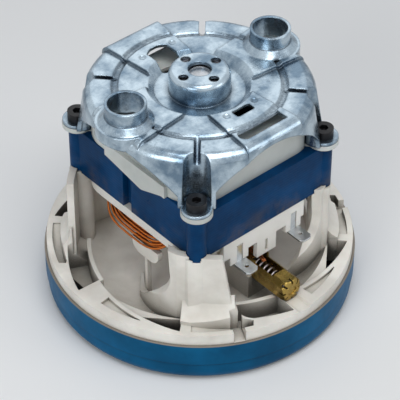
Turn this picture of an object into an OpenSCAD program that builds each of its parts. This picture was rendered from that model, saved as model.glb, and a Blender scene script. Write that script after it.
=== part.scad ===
// Vacuum motor unit: a two-pole brush motor over a single-stage fan.
// Origin: centre of the fan cover's flat underside, +Z up along the shaft.
// -Y is the side of the terminals, -X the side where the left field coil shows.

/* [Fan cover] */
// Outside diameter of the fan cover
cover_d = 132; // [128:1:138]
// Height of the cover's rim above its flat underside
cover_h = 20; // [19:0.25:20.5]
// Thickness of the cover's sheet
cover_t = 1; // [0.8:0.1:1.2]
// Diameter of the inlet eye
eye_d = 36; // [30:1:40]
// Height of the pressed line round the cover
seam_z = 9.7; // [8:0.1:12]
// Step of the cover's wall at the pressed line
seam_step = 0.6; // [0.3:0.1:1]
// Outside radius of the cover's bottom corner
cover_corner_r = 5; // [4:0.5:6]

/* [Impeller] */
// Outside diameter of the impeller
impeller_d = 108; // [100:1:112]
// Thickness of the impeller's aluminium sheet
impeller_t = 0.8; // [0.6:0.1:1]
// Number of vanes
vane_count = 9; // [7:1:11]
// Radius that a vane is curved to
vane_r = 30; // [28:1:32]

/* [Housing] */
// Underside of the housing's floor
floor_z = 13.2; // [13:0.1:13.6]
// Thickness of the housing's floor
floor_t = 2.4; // [2:0.1:2.6]
// Top of the diffuser ring
ring_z = 25; // [24:0.25:26]
// Width of the rim outside the air guides
rim_w = 2.5; // [2:0.1:3]
// Thickness of the moulded walls
wall = 2.4; // [2:0.1:2.8]
// Radius of the circles that the air guides follow
guide_r = 60.5; // [60:0.25:61]
// Distance of the guide circles from the shaft
guide_offset = 14; // [13.5:0.25:14.5]
// Height of the pillars' horns beside the iron
horn_z = 57; // [56:0.25:58]

/* [Iron] */
// Width of the stator iron along X
stack_x = 72.6; // [71.5:0.1:73.5]
// Width of the stator iron along Y
stack_y = 79.8; // [79:0.1:80.5]
// Underside of the stator iron
stack_z = 54.8; // [54.2:0.1:55.4]
// Height of the stator iron
stack_h = 22.2; // [21:0.1:22.8]
// Diameter of the armature iron
armature_d = 40; // [38:0.5:40.5]
// Air gap between the armature and the poles
air_gap = 0.5; // [0.4:0.1:0.8]
// Distance of the screws from the YZ plane
screw_x = 33.9; // [33.5:0.1:34.2]
// Distance of the screws from the XZ plane
screw_y = 37; // [36.6:0.1:37.3]
// Diameter of the bracket screws
screw_d = 4; // [3.5:0.1:4.2]

/* [Windings] */
// Diameter of the tube that stands for the wire
wire_d = 0.9; // [0.8:0.05:0.95]
// Distance between neighbouring turns
turn_pitch = 1.5; // [1.45:0.05:1.6]
// Distance between a coil's two layers
layer_pitch = 2; // [1.9:0.05:2.1]
// Turns in each of a coil's two layers
turns = 6; // [4:1:6]

/* [Shaft and bearings] */
// Diameter of the shaft in its bearings
shaft_d = 8; // [8:0.5:8.5]
// Outside diameter of the bearings
bearing_d = 22; // [22:0.5:23]
// Width of the bearings
bearing_w = 7; // [6.5:0.25:7]
// Diameter of the commutator
commutator_d = 22.6; // [21:0.2:23.4]
// Number of commutator bars
bar_count = 24; // [20:2:28]

/* [Brush gear] */
// Height of the brushes' axis
brush_z = 29.3; // [29:0.1:29.6]
// Width of a brush holder
holder_w = 9.6; // [9:0.1:10]
// Height of a brush holder
holder_h = 10; // [9.6:0.1:10.4]
// Thickness of the holder's brass sheet
holder_t = 0.7; // [0.5:0.05:0.8]
// Distance of the holder's closed end from the shaft
holder_end = 57; // [56:0.5:58]
// Length of a new brush
brush_len = 24; // [22:0.5:26]
// Turns of a brush spring
spring_turns = 8; // [7:0.5:9]
// Clearance of the brush in its holder
brush_gap = 0.08; // [0.05:0.01:0.1]

/* [Terminals] */
// Width of a spade tab
tab_w = 6.3; // [4.8:0.1:6.3]
// Thickness of a spade tab
tab_t = 0.8; // [0.5:0.1:0.8]
// Height of the tabs' underside
tab_z = 40.9; // [40.5:0.1:41.4]

/* [Bearing bracket] */
// Thickness of the bracket's sheet
sheet_t = 1.5; // [1.3:0.1:1.6]
// Top of the bracket's sector panels
panel_z = 102; // [101.5:0.1:102.5]
// Height of the four arms above the panels
arm_rise = 1.5; // [1:0.1:1.8]
// Half the width of an arm at its end
arm_half_w = 14; // [13:0.25:14.5]
// Top of the bearing cup
cup_z = 109.5; // [109:0.1:110]
// Top of the two collars
collar_z = 111.7; // [111:0.1:112.5]
// Distance of the collars from the shaft
collar_x = 38; // [37.5:0.25:38.5]
// Inside diameter of the collars
collar_bore = 14.4; // [14:0.1:15]
// Radius of the pockets over the screw heads
pocket_r = 5.6; // [5.4:0.1:6]

/* [Hidden] */
$fn = 72;
cut = 1;                 // overlap of a cutting tool past the face it cuts
running_gap = 0.05;      // radial clearance of a part that turns in another
seat_gap = 0.02;         // radial clearance of a part that is pressed in

// Levels and radii worked out from the sizes above
cover_r = cover_d / 2;
eye_r = eye_d / 2;
ring_r = cover_r - cover_t - 0.05;
rim_in_r = ring_r - rim_w;
floor_top = floor_z + floor_t;
stack_top = stack_z + stack_h;
bore_r = armature_d / 2 + air_gap;
bearing_r = bearing_d / 2;
inner_ring_r = 6;
outer_ring_in_r = 9.1;
shaft_r = shaft_d / 2;
shaft_mid_r = shaft_r + 1;
ledge_z = seam_z - 0.3;
lower_bearing_z = floor_z + 1.7;
lower_bearing_top = lower_bearing_z + bearing_w;
cup_in_z = cup_z - sheet_t;
spring_washer_h = 0.5;
upper_bearing_z = cup_in_z - spring_washer_h - bearing_w;
back_disc_z = floor_z - 1.2 - impeller_t;
impeller_r = impeller_d / 2;
front_disc_eye_z = cover_t + 1.6;
front_disc_rim_z = front_disc_eye_z + 3;
commutator_r = commutator_d / 2;
screw_dist = norm([screw_x, screw_y]);
screw_angle = atan2(screw_y, screw_x);
arm_z = panel_z + arm_rise;
collar_r = collar_bore / 2 + 1.2;
foot_z = stack_top + 2.1;
foot_top = foot_z + sheet_t - 0.1;

// The four screw positions, from the left front corner on
screw_angles = [180 + screw_angle, 360 - screw_angle, screw_angle, 180 - screw_angle];

module at_screws() {
    for (a = screw_angles) rotate([0, 0, a]) translate([screw_dist, 0, 0]) children();
}

// A ring with square edges
module ring(r_out, r_in, h) {
    difference() {
        cylinder(r = r_out, h = h);
        translate([0, 0, -cut]) cylinder(r = r_in, h = h + 2 * cut);
    }
}

// Flat sector from angle a0 to a1 with straight outer sides, to cut other shapes with
module sector(a0, a1, r) {
    mid = (a0 + a1) / 2;
    polygon([[0, 0], r * [cos(a0), sin(a0)], 1.2 * r * [cos(mid), sin(mid)], r * [cos(a1), sin(a1)]]);
}

// Rectangle with rounded corners
module rounded_rect(x, y, r) {
    for (sx = [-1, 1], sy = [-1, 1]) translate([sx * (x / 2 - r), sy * (y / 2 - r)]) circle(r = r);
    square([x - 2 * r, y], center = true);
    square([x, y - 2 * r], center = true);
}

// Fan cover
module cover_section(inset) {
    r_low = cover_r - seam_step - inset;
    corner = cover_corner_r - inset;
    translate([0, inset]) square([r_low - corner, seam_z]);
    translate([0, cover_corner_r]) square([r_low, seam_z - cover_corner_r + cut]);
    translate([r_low - corner, cover_corner_r]) circle(r = corner);
    translate([0, inset > 0 ? ledge_z : seam_z]) square([cover_r - inset, cover_h - seam_z + inset]);
}

module fan_cover() {
    lip_h = 1.2;
    color([0.24, 0.45, 0.52]) rotate_extrude($fn = 120) difference() {
        union() {
            intersection() {
                difference() {
                    cover_section(0);
                    cover_section(cover_t);
                }
                square([cover_r + cut, cover_h]);
            }
            translate([eye_r, 0]) square([cover_t, cover_t + lip_h]);
        }
        translate([-cut, -cut]) square([eye_r + cut, cover_h]);
    }
}

// Impeller: front disc with the eye, flat back disc and backward-curved vanes between
module impeller_back_disc() {
    color([0.78, 0.79, 0.8]) translate([0, 0, back_disc_z])
        ring(impeller_r, shaft_r + running_gap, impeller_t);
}

module front_disc_section(gap) {
    eye_edge = eye_r + cover_t + 0.8;
    polygon([[eye_edge, front_disc_eye_z + gap], [impeller_r, front_disc_rim_z + gap],
        [impeller_r, front_disc_rim_z + impeller_t + gap], [eye_edge, front_disc_eye_z + impeller_t + gap]]);
}

module impeller_front_disc() {
    color([0.78, 0.79, 0.8]) rotate_extrude($fn = 96) front_disc_section(0);
}

module impeller_vanes() {
    vane_in_r = eye_r + cover_t + 2;
    vane_out_r = impeller_r - 0.5;
    vane_set = 3;
    centre = vane_r - vane_set;
    color([0.72, 0.73, 0.75]) intersection() {
        for (i = [0:vane_count - 1]) rotate([0, 0, i * 360 / vane_count])
            linear_extrude(back_disc_z) difference() {
                translate([centre, 0]) circle(r = vane_r + impeller_t / 2);
                translate([centre, 0]) circle(r = vane_r - impeller_t / 2);
                translate([-impeller_d, 0]) square([2 * impeller_d, impeller_d]);
                circle(r = vane_in_r);
                difference() {
                    circle(r = impeller_d);
                    circle(r = vane_out_r);
                }
            }
        rotate_extrude($fn = 96) difference() {
            square([impeller_r, back_disc_z]);
            polygon([[0, 0], [0, front_disc_eye_z], [eye_r + cover_t + 0.8, front_disc_eye_z + impeller_t],
                [impeller_r, front_disc_rim_z + impeller_t], [impeller_r + cut, 0]]);
        }
    }
}

module impeller_spacer() {
    z0 = back_disc_z + impeller_t;
    color([0.6, 0.6, 0.62]) translate([0, 0, z0])
        ring(inner_ring_r, shaft_r + running_gap, lower_bearing_z - z0);
}

washer_h = 1.2;
washer_r = 11;
nut_h = 5;
washer_z = back_disc_z - washer_h;

module impeller_washer() {
    color([0.62, 0.62, 0.64]) translate([0, 0, washer_z]) ring(washer_r, shaft_r + running_gap, washer_h);
}

module impeller_nut() {
    nut_af = 13;
    color([0.7, 0.66, 0.5]) translate([0, 0, washer_z - nut_h]) difference() {
        cylinder(d = nut_af / cos(30), h = nut_h, $fn = 6);
        translate([0, 0, -cut]) cylinder(r = shaft_r + running_gap, h = nut_h + 2 * cut);
    }
}

// Shaft: bearing journals at both ends and a thicker middle
shaft_low = washer_z - nut_h - 1.5;

module shaft() {
    color([0.55, 0.56, 0.58]) {
        translate([0, 0, shaft_low]) cylinder(r = shaft_r, h = upper_bearing_z + bearing_w - 0.3 - shaft_low);
        translate([0, 0, lower_bearing_top])
            cylinder(r = shaft_mid_r, h = upper_bearing_z - lower_bearing_top);
    }
}

// Commutator: moulded hub and copper bars with hooks at the winding end
commutator_z = lower_bearing_top + 1.3;
commutator_h = 12.4;
hook_h = 1.8;
hub_r = 7.6;

module commutator_hub() {
    color([0.25, 0.15, 0.1]) translate([0, 0, commutator_z - 0.6])
        ring(hub_r, shaft_mid_r + seat_gap, commutator_h + 1.2);
}

module commutator_bars() {
    slit = 0.6;
    bar_in_r = hub_r + seat_gap;
    color([0.78, 0.45, 0.25]) translate([0, 0, commutator_z]) difference() {
        union() {
            ring(commutator_r, bar_in_r, commutator_h);
            translate([0, 0, commutator_h - hook_h]) ring(commutator_r + 1.4, bar_in_r, hook_h);
        }
        for (i = [0:bar_count - 1]) rotate([0, 0, i * 360 / bar_count])
            translate([0, -slit / 2, -cut]) cube([commutator_d, slit, commutator_h + 2 * cut]);
    }
}

// Armature: slotted iron and its winding, drawn as its full end bells and slot fillings
slot_count = 12;
slot_mid_r = armature_d / 2 - 6.2;
slot_r = 2.6;

module armature_slot(gap) {
    translate([slot_mid_r, 0]) circle(r = slot_r - gap, $fn = 32);
    translate([slot_mid_r, gap / 2 - slot_r / 2]) square([4.2 - gap, slot_r - gap]);
}

module armature_core() {
    color([0.42, 0.44, 0.48]) translate([0, 0, stack_z]) linear_extrude(stack_h) difference() {
        circle(r = armature_d / 2);
        circle(r = shaft_mid_r + seat_gap);
        for (i = [0:slot_count - 1]) rotate(i * 360 / slot_count) {
            armature_slot(0);
            translate([slot_mid_r, -1]) square([armature_d, 2]);
        }
    }
}

module armature_winding() {
    bell_r = armature_d / 2 - 1.2;
    bell_in_r = shaft_mid_r + 0.8;
    low_z = commutator_z + commutator_h + 1.4;
    top_z = stack_top + 13;
    core_gap = 0.3;
    color([0.72, 0.4, 0.2]) {
        rotate_extrude() polygon([[bell_in_r, low_z], [bell_r - 5.5, low_z], [bell_r - 1.5, low_z + 5],
            [bell_r, low_z + 9], [bell_r, stack_z - core_gap], [bell_in_r, stack_z - core_gap]]);
        rotate_extrude() polygon([[bell_in_r, stack_top + core_gap], [bell_r, stack_top + core_gap],
            [bell_r, top_z - 7], [bell_r - 2, top_z - 2], [bell_r - 5, top_z], [bell_in_r, top_z]]);
        for (i = [0:slot_count - 1]) rotate([0, 0, i * 360 / slot_count])
            translate([0, 0, stack_z - cut]) linear_extrude(stack_h + 2 * cut) armature_slot(core_gap);
    }
}

// Ball bearings: outer ring with a shield each side, inner ring, seven balls
module bearing_outer(z) {
    shield_t = 0.5;
    race_r = 2.05;
    color([0.66, 0.67, 0.69]) translate([0, 0, z]) rotate_extrude($fn = 96) difference() {
        union() {
            translate([outer_ring_in_r, 0]) square([bearing_r - outer_ring_in_r, bearing_w]);
            for (sz = [0.2, bearing_w - shield_t - 0.2]) translate([inner_ring_r + 0.2, sz])
                square([outer_ring_in_r - inner_ring_r, shield_t]);
        }
        translate([(shaft_r + bearing_r) / 2, bearing_w / 2]) circle(r = race_r, $fn = 48);
    }
}

module bearing_inner(z) {
    color([0.7, 0.71, 0.73]) translate([0, 0, z]) rotate_extrude($fn = 96) difference() {
        translate([shaft_r + 0.01, 0]) square([inner_ring_r - shaft_r - 0.01, bearing_w]);
        translate([(shaft_r + bearing_r) / 2, bearing_w / 2]) circle(r = 2.05, $fn = 48);
    }
}

module bearing_balls(z) {
    ball_count = 7;
    ball_r = 1.95;
    color([0.8, 0.8, 0.82]) for (i = [0:ball_count - 1]) rotate([0, 0, i * 360 / ball_count])
        translate([(shaft_r + bearing_r) / 2, 0, z + bearing_w / 2]) sphere(r = ball_r, $fn = 24);
}

module lower_bearing_outer() { bearing_outer(lower_bearing_z); }
module lower_bearing_inner() { bearing_inner(lower_bearing_z); }
module lower_bearing_balls() { bearing_balls(lower_bearing_z); }
module upper_bearing_outer() { bearing_outer(upper_bearing_z); }
module upper_bearing_inner() { bearing_inner(upper_bearing_z); }
module upper_bearing_balls() { bearing_balls(upper_bearing_z); }

module bearing_spring_washer() {
    gap = 0.05;
    color([0.5, 0.5, 0.52]) translate([0, 0, upper_bearing_z + bearing_w + gap])
        ring(bearing_r - 0.4, outer_ring_in_r + 0.3, spring_washer_h - 2 * gap);
}

// Stator iron: two poles on +X and -X inside a closed frame
lobe_r = 4;
yoke_in_x = 30.5;
yoke_in_y = 32.5;
neck_half_w = 10.5;
pole_back_r = bore_r + 4;
tip_angle = 62;
notch_w = 5;
notch_d = 3;
notch_y = 3;

module stack_outline(grow) {
    difference() {
        square([stack_x + 2 * grow, stack_y + 2 * grow], center = true);
        for (sx = [-1, 1], sy = [-1, 1]) translate([sx * stack_x / 2, sy * stack_y / 2]) rotate(45)
            square([5 - 2 * grow, 5 - 2 * grow], center = true);
    }
    for (a = screw_angles) rotate(a) translate([screw_dist, 0]) circle(r = lobe_r + grow);
}

module stator_stack() {
    color([0.06, 0.2, 0.38]) translate([0, 0, stack_z]) linear_extrude(stack_h) difference() {
        stack_outline(0);
        circle(r = bore_r, $fn = 96);
        difference() {
            rounded_rect(2 * yoke_in_x, 2 * yoke_in_y, 5);
            for (side = [0, 180]) rotate(side) {
                translate([0, -neck_half_w]) square([yoke_in_x + cut, 2 * neck_half_w]);
                intersection() {
                    circle(r = pole_back_r, $fn = 96);
                    sector(-tip_angle, tip_angle, 3 * pole_back_r);
                }
            }
        }
        for (a = screw_angles) rotate(a) translate([screw_dist, 0]) circle(d = screw_d + 0.4);
        for (side = [0, 180]) rotate(side) translate([-stack_x / 2 - cut, notch_y - notch_w / 2])
            square([notch_d + cut, notch_w]);
    }
}

// Field coils: one unbroken wire each, wound out in one layer and back in the other
coil_steps = 24;
coil_sides = 6;
coil_x = 27;
coil_half_w = 12.6;
coil_half_h = stack_h / 2 + 1.7;
low_bulge = 7.2;
top_bulge = 4;

function coil_turn(t) = t < turns ? t : 2 * turns - t;
function coil_layer(t) = min(1, max(0, (t - turns + 0.25) * 2)) * layer_pitch;
// Rounded box path: the angle runs round the pole's neck
function coil_round(v, p) = sign(v) * pow(abs(v), p);
function coil_yz(t) = let (a = 360 * t, grow = coil_turn(t) * turn_pitch)
    [(coil_half_w + grow) * coil_round(cos(a), 0.55), (coil_half_h + grow) * coil_round(sin(a), 0.55)];
function coil_push(z) = z < -stack_h / 2 ? low_bulge * pow((-z - stack_h / 2) / 10, 1.25)
    : z > stack_h / 2 ? top_bulge * pow((z - stack_h / 2) / 10, 1.25) : 0;
function coil_point(t) = let (p = coil_yz(t))
    [coil_x + coil_layer(t) + coil_push(p[1]), p[0], p[1] + stack_z + stack_h / 2];

coil_path = [for (i = [0:2 * turns * coil_steps]) coil_point(i / coil_steps)];

// Sweeps a round tube along points; each ring stands square to the path
function unit(v) = v / norm(v);
function path_dir(p, i) = unit(p[min(i + 1, len(p) - 1)] - p[max(i - 1, 0)]);
module tube(path, r, sides, side_hint) {
    rings = [for (i = [0:len(path) - 1]) let (d = path_dir(path, i), u = unit(cross(side_hint, d)), v = cross(d, u))
        for (k = [0:sides - 1]) path[i] + r * (cos(360 * k / sides) * u + sin(360 * k / sides) * v)];
    last = (len(path) - 1) * sides;
    polyhedron(points = rings, faces = concat(
        [[for (k = [sides - 1:-1:0]) k]],
        [[for (k = [0:sides - 1]) last + k]],
        [for (i = [0:len(path) - 2], k = [0:sides - 1]) let (a = i * sides + k, b = i * sides + (k + 1) % sides)
            [a, b, b + sides]],
        [for (i = [0:len(path) - 2], k = [0:sides - 1]) let (a = i * sides + k, b = i * sides + (k + 1) % sides)
            [a, b + sides, a + sides]]));
}

// Least gap of a wound wire to itself, more than half a turn apart along it
function least_gap(path, d, skip) = min([for (i = [0:len(path) - 1], j = [i + skip:len(path) - 1])
    norm(path[i] - path[j])]) - d;
echo(coil_least_gap = least_gap(coil_path, wire_d, floor(coil_steps / 2)));

module field_coil() {
    color([0.85, 0.45, 0.12]) tube(coil_path, wire_d / 2, coil_sides, [1, 0, 0]);
}

module field_coil_left() { rotate([0, 0, 180]) field_coil(); }
module field_coil_right() { field_coil(); }

// Lower insulator: frame wall under the iron's edge, liner round the bore, webs between
insulator_h = 4.3;
insulator_t = 1.6;
liner_r = bore_r + 1.2;
web_t = 0.7;

module lower_insulator() {
    frame_x = stack_x - 0.2;
    frame_y = stack_y - 5;
    color([0.9, 0.9, 0.88]) difference() {
        union() {
            translate([0, 0, stack_z - insulator_h]) linear_extrude(insulator_h) difference() {
                rounded_rect(frame_x, frame_y, 16);
                rounded_rect(frame_x - 2 * insulator_t, frame_y - 2 * insulator_t, 16 - insulator_t);
                for (a = screw_angles) rotate(a) translate([screw_dist, 0]) circle(r = boss_r + 0.3);
            }
            translate([0, 0, stack_z - insulator_h - 3]) linear_extrude(insulator_h + 3) difference() {
                circle(r = liner_r + 1);
                circle(r = liner_r);
            }
            translate([0, 0, stack_z - web_t]) linear_extrude(web_t) {
                square([frame_x - 1, 16], center = true);
                square([18, frame_y - 1], center = true);
            }
        }
        translate([0, 0, stack_z - 2 * insulator_h]) cylinder(r = liner_r, h = 3 * insulator_h);
    }
}

// Upper air guide: hood over the upper windings, ears under the bracket's feet, a flap each side
guide_x = 36;
guide_y = 35.9;
guide_t = 1.8;
guide_top = panel_z - sheet_t - 6;
flap_y0 = -8;
flap_y1 = 15;
flap_z = 72.8;
flap_t = 1.3;

module hood_outline(inset) {
    difference() {
        rounded_rect(2 * (guide_x - inset), 2 * (guide_y - inset), 16 - inset);
        for (a = screw_angles) rotate(a) translate([pocket_dist, 0])
            circle(r = pocket_r + sheet_t + 0.5 + inset, $fn = 48);
    }
}

module upper_air_guide() {
    ear_r = 6.4;
    ear_h = foot_z - stack_top;
    color([0.87, 0.86, 0.8]) {
        difference() {
            union() {
                translate([0, 0, stack_top]) linear_extrude(guide_top - stack_top) hood_outline(0);
                at_screws() translate([0, 0, stack_top]) cylinder(r = ear_r, h = ear_h);
                for (a = screw_angles) rotate([0, 0, a]) translate([34, -4, stack_top])
                    cube([screw_dist - 34, 8, ear_h]);
            }
            translate([0, 0, stack_top - cut]) linear_extrude(guide_top - stack_top - guide_t + cut)
                hood_outline(guide_t);
            translate([0, 0, guide_top - guide_t - cut]) cylinder(r = 25, h = guide_t + 2 * cut);
            at_screws() translate([0, 0, stack_top - cut]) cylinder(d = screw_d + 0.4, h = ear_h + 2 * cut);
        }
        for (side = [0, 180]) rotate([0, 0, side]) translate([-stack_x / 2 - 0.15 - flap_t, 0, 0])
            rotate([90, 0, 90]) linear_extrude(flap_t) polygon([[flap_y1, stack_top + 6], [flap_y1, flap_z + 4],
                [flap_y0 + 1, flap_z], [flap_y0, flap_z], [flap_y0 - 14, stack_top + 1], [flap_y0 - 14, stack_top + 6]]);
        for (side = [0, 180]) rotate([0, 0, side]) translate([-stack_x / 2 - 0.15 - flap_t, flap_y0 - 14, stack_top + 0.2])
            cube([flap_t + 1.5, flap_y1 - flap_y0 + 14, 5.8]);
    }
}

// Terminal carrier: comb under the iron with three fingers, and the two spade tabs in it
carrier_y = 37.4;
carrier_t = 2.2;
finger_x = [[-18.3, -8.5, 41.7], [-3.7, 6.8, 37.5], [12.2, 20.5, 41.7]];
comb_half_w = 22;
comb_z = 46;
tab_x = [-13.05, 16.45];
tab_slot = [3.2, 9.6];
slot_w = 1.2;
slot_z = 39;
slot_h = 6;

module terminal_carrier() {
    color([0.88, 0.9, 0.9]) difference() {
        translate([0, -carrier_y, 0]) rotate([90, 0, 0]) linear_extrude(carrier_t) {
            translate([-comb_half_w, comb_z]) square([2 * comb_half_w, stack_z - comb_z]);
            for (f = finger_x) translate([f[0], f[2]]) square([f[1] - f[0], stack_z - f[2]]);
        }
        for (x = tab_x) {
            translate([x - tab_slot[0] / 2, -carrier_y - carrier_t - cut, tab_z - cut])
                cube([tab_slot[0], carrier_t - tab_t + cut, tab_slot[1] + cut]);
        }
        translate([(finger_x[1][0] + finger_x[1][1]) / 2 - slot_w / 2, -carrier_y - carrier_t - cut, slot_z])
            cube([slot_w, carrier_t / 2 + cut, slot_h]);
    }
}

module spade_terminal(x) {
    tab_y0 = carrier_y;
    tab_len = 10.6;
    color([0.75, 0.76, 0.78]) {
        difference() {
            translate([0, 0, tab_z]) linear_extrude(tab_t) difference() {
                translate([x - tab_w / 2, -tab_y0 - tab_len]) square([tab_w, tab_len]);
                for (s = [-1, 1]) translate([x + s * tab_w / 2, -tab_y0 - tab_len]) rotate(45)
                    square(1.8, center = true);
                translate([x, -tab_y0 - tab_len + 4.2]) circle(d = 1.8, $fn = 24);
            }
        }
        translate([x - 1.3, -carrier_y - carrier_t + 0.3, tab_z]) cube([2.6, tab_t, 9]);
    }
}

module spade_terminal_left() { spade_terminal(tab_x[0]); }
module spade_terminal_right() { spade_terminal(tab_x[1]); }

// Brush gear, drawn for the front (-Y) side and turned half a turn for the back
holder_start = commutator_r + 2.2;

// Octagon: a w by h rectangle with its corners cut by c
module octagon(w, h, c) {
    polygon([[-w / 2 + c, -h / 2], [w / 2 - c, -h / 2], [w / 2, -h / 2 + c], [w / 2, h / 2 - c],
        [w / 2 - c, h / 2], [-w / 2 + c, h / 2], [-w / 2, h / 2 - c], [-w / 2, -h / 2 + c]]);
}

module along_brush(start, length) {
    translate([0, -start, brush_z]) rotate([90, 0, 0]) linear_extrude(length) children();
}

holder_corner = 2.2;
holder_in_corner = holder_corner - holder_t * 0.6;

holder_end_t = 0.8;

// The closed end: a disc with rounded edges, long enough to hold the whole holder
module holder_end_round() {
    end_r = holder_h / 2 + 0.7;
    end_round = 2;
    rotate_extrude() {
        square([end_r, holder_end - end_round]);
        square([end_r - end_round, holder_end]);
        translate([end_r - end_round, holder_end - end_round]) circle(r = end_round);
    }
}

module brush_holder() {
    window_from = 36;
    window_to = 49;
    window_w = 6.6;
    lug = [0.7, 2.6, 2.6];
    lug_z = 3.2;
    petal_slit = 0.8;
    petal_len = 2.4;
    dimple_r = 2.3;
    color([0.72, 0.58, 0.22]) {
        difference() {
            intersection() {
                along_brush(holder_start, holder_end - holder_start) octagon(holder_w, holder_h, holder_corner);
                translate([0, 0, brush_z]) rotate([90, 0, 0]) holder_end_round();
            }
            along_brush(holder_start - cut, holder_end - holder_start - holder_end_t + cut)
                octagon(holder_w - 2 * holder_t, holder_h - 2 * holder_t, holder_in_corner);
            translate([-window_w / 2, -window_to, brush_z]) cube([window_w, window_to - window_from, holder_h]);
            along_brush(holder_end - holder_end_t / 2, cut) circle(r = dimple_r);
            translate([0, 0, brush_z]) for (a = [0, 45, 90, 135]) rotate([0, a, 0])
                for (s = [-1, 1]) translate([s * (dimple_r + 1 + holder_w / 2), -holder_end, 0])
                    cube([holder_w, 2 * petal_len, petal_slit], center = true);
        }
        for (s = [-1, 1]) translate([s * (window_w + lug[0]) / 2 - lug[0] / 2, -window_from - lug[1],
            brush_z + lug_z]) cube(lug);
    }
}

module carbon_brush() {
    w = holder_w - 2 * holder_t - 2 * brush_gap;
    h = holder_h - 2 * holder_t - 2 * brush_gap;
    color([0.16, 0.16, 0.17]) difference() {
        along_brush(0, commutator_r + brush_len) octagon(w, h, holder_in_corner);
        translate([0, 0, brush_z - holder_h]) cylinder(r = commutator_r + 0.05, h = 2 * holder_h);
        translate([-holder_w, 0, brush_z - holder_h]) cube([2 * holder_w, commutator_d, 2 * holder_h]);
    }
}

spring_wire_d = 0.9;
spring_r = 2.9;
spring_start = commutator_r + brush_len + 0.1 + spring_wire_d / 2;
spring_end = holder_end - holder_end_t - 0.1 - spring_wire_d / 2;
curl_steps = 8;
spring_path = [for (i = [0:spring_turns * curl_steps]) let (a = 360 * i / curl_steps,
    y = spring_start + (spring_end - spring_start) * i / (spring_turns * curl_steps))
    [spring_r * cos(a), -y, brush_z + spring_r * sin(a)]];
echo(spring_least_gap = least_gap(spring_path, spring_wire_d, floor(curl_steps / 2)));

module brush_spring() {
    color([0.45, 0.42, 0.44]) tube(spring_path, spring_wire_d / 2, 6, [0, 1, 0]);
}

module brush_holder_front() { brush_holder(); }
module brush_holder_back() { rotate([0, 0, 180]) brush_holder(); }
module carbon_brush_front() { carbon_brush(); }
module carbon_brush_back() { rotate([0, 0, 180]) carbon_brush(); }
module brush_spring_front() { brush_spring(); }
module brush_spring_back() { rotate([0, 0, 180]) brush_spring(); }

// Housing. Eight guide circles stand round the shaft, 45 degrees apart. Each air channel ends at a
// radial face and runs back from it inside its guide circle. Between them four curled blades rise
// into the pillars that carry the iron.
first_end = 266.5;       // end face of the channel right of the front pillar
free_turn = -45;         // from the end face of a pillar's channel back to the next one
pillar_turn = -39;       // from the end face of a pillar's channel to the middle of its pillar
guide_lead = 75;         // direction of a guide circle's centre, seen from its end face
mouth_in_r = 54.4;       // inner edge of a channel's mouth at its end face
mouth_back = 18;         // degrees that a mouth runs back
mouth_back_r = 57.9;     // where it runs out
quarter = [0:90:270];
bowl_r = 40;             // where the bowl's floor starts to rise
bowl_round = 16;         // radius that it rises with
bowl_sill_z = ring_z - 1.5;
hub_out_r = bearing_r + 2.6;

function on_circle(r, a) = r * [cos(a), sin(a)];

// Flat disc inside the guide circle of the channel that ends at angle a
module guide_disc(a, grow) {
    rotate(a + guide_lead) translate([guide_offset, 0]) circle(r = guide_r + grow, $fn = 90);
}

module bowl_outline() {
    for (q = quarter, turn = [0, free_turn]) let (a = first_end + q + turn) intersection() {
        guide_disc(a, 0);
        circle(r = rim_in_r, $fn = 90);
        sector(a + free_turn - 0.2, a, 2 * cover_r);
    }
}

// Opening down to the fan at the end of a channel
module mouth(a) {
    step = 0.3;
    intersection() {
        guide_disc(a, -step);
        circle(r = rim_in_r - step, $fn = 90);
        polygon([on_circle(mouth_in_r, a - step), on_circle(2 * cover_r, a - step),
            on_circle(2 * cover_r, a - mouth_back), on_circle(mouth_back_r, a - mouth_back)]);
    }
}

// Pocket between a pillar's blade and the thin lip that divides it from the bowl
lip_t = 1.8;
lip_back = 30;
pocket_back = 22;

module pocket(a) {
    intersection() {
        difference() {
            guide_disc(a, 0);
            guide_disc(a - free_turn, 0);
        }
        circle(r = rim_in_r, $fn = 90);
        sector(a - pocket_back, a, 2 * cover_r);
    }
}

module lip(a) {
    intersection() {
        difference() {
            guide_disc(a - free_turn, 0);
            guide_disc(a - free_turn, -lip_t);
        }
        sector(a - lip_back, a + 1, 2 * cover_r);
    }
}

// A pillar's blade, in a frame whose x axis runs outward through the pillar's middle
blade_t = wall + 0.6;
blade_offset = [-4.1, 9.1];
blade_r = 58.6;
curl_offset = [21.3, 9.9];
curl_r = 35.5;
curl_fade_r = 20;
curl_fade_at = [24, 37];
boss_r = 5.2;

module blade_disc(inset) {
    intersection() {
        translate(blade_offset) circle(r = blade_r - inset, $fn = 90);
        translate(curl_offset) circle(r = curl_r - inset, $fn = 90);
    }
}

// The blade's outline seen from outside: level top, steep right edge, left edge curved into the bowl
module blade_face() {
    difference() {
        polygon([[-24, floor_z + 1], [16.5, floor_z + 1], [15.3, ring_z], [10.3, horn_z], [-11.4, horn_z],
            [-10.6, 43], [-24, 43]]);
        translate([-29.6, 43]) circle(r = 19, $fn = 60);
    }
}

module blade() {
    intersection() {
        translate([0, 0, floor_z + 1]) linear_extrude(horn_z - floor_z - 1) difference() {
            blade_disc(0);
            blade_disc(blade_t);
            translate([-cover_r, -cover_r]) square([cover_r + 20, cover_d]);
        }
        translate([20, 0, 0]) rotate([90, 0, 90]) linear_extrude(cover_r) blade_face();
        // the curled end sinks into the bowl
        translate([0, cover_r, 0]) rotate([90, 0, 0]) linear_extrude(cover_d) difference() {
            square([cover_r, horn_z]);
            translate(curl_fade_at) circle(r = curl_fade_r, $fn = 60);
            translate([0, curl_fade_at[1]]) square([curl_fade_at[0] + curl_fade_r, horn_z]);
        }
    }
}

// Foot of a pillar, flared out over the ring and rounded off to the right
foot_round = 11;
foot_out_r = 59;
foot_right = 24;
foot_right_round = 9;

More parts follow.
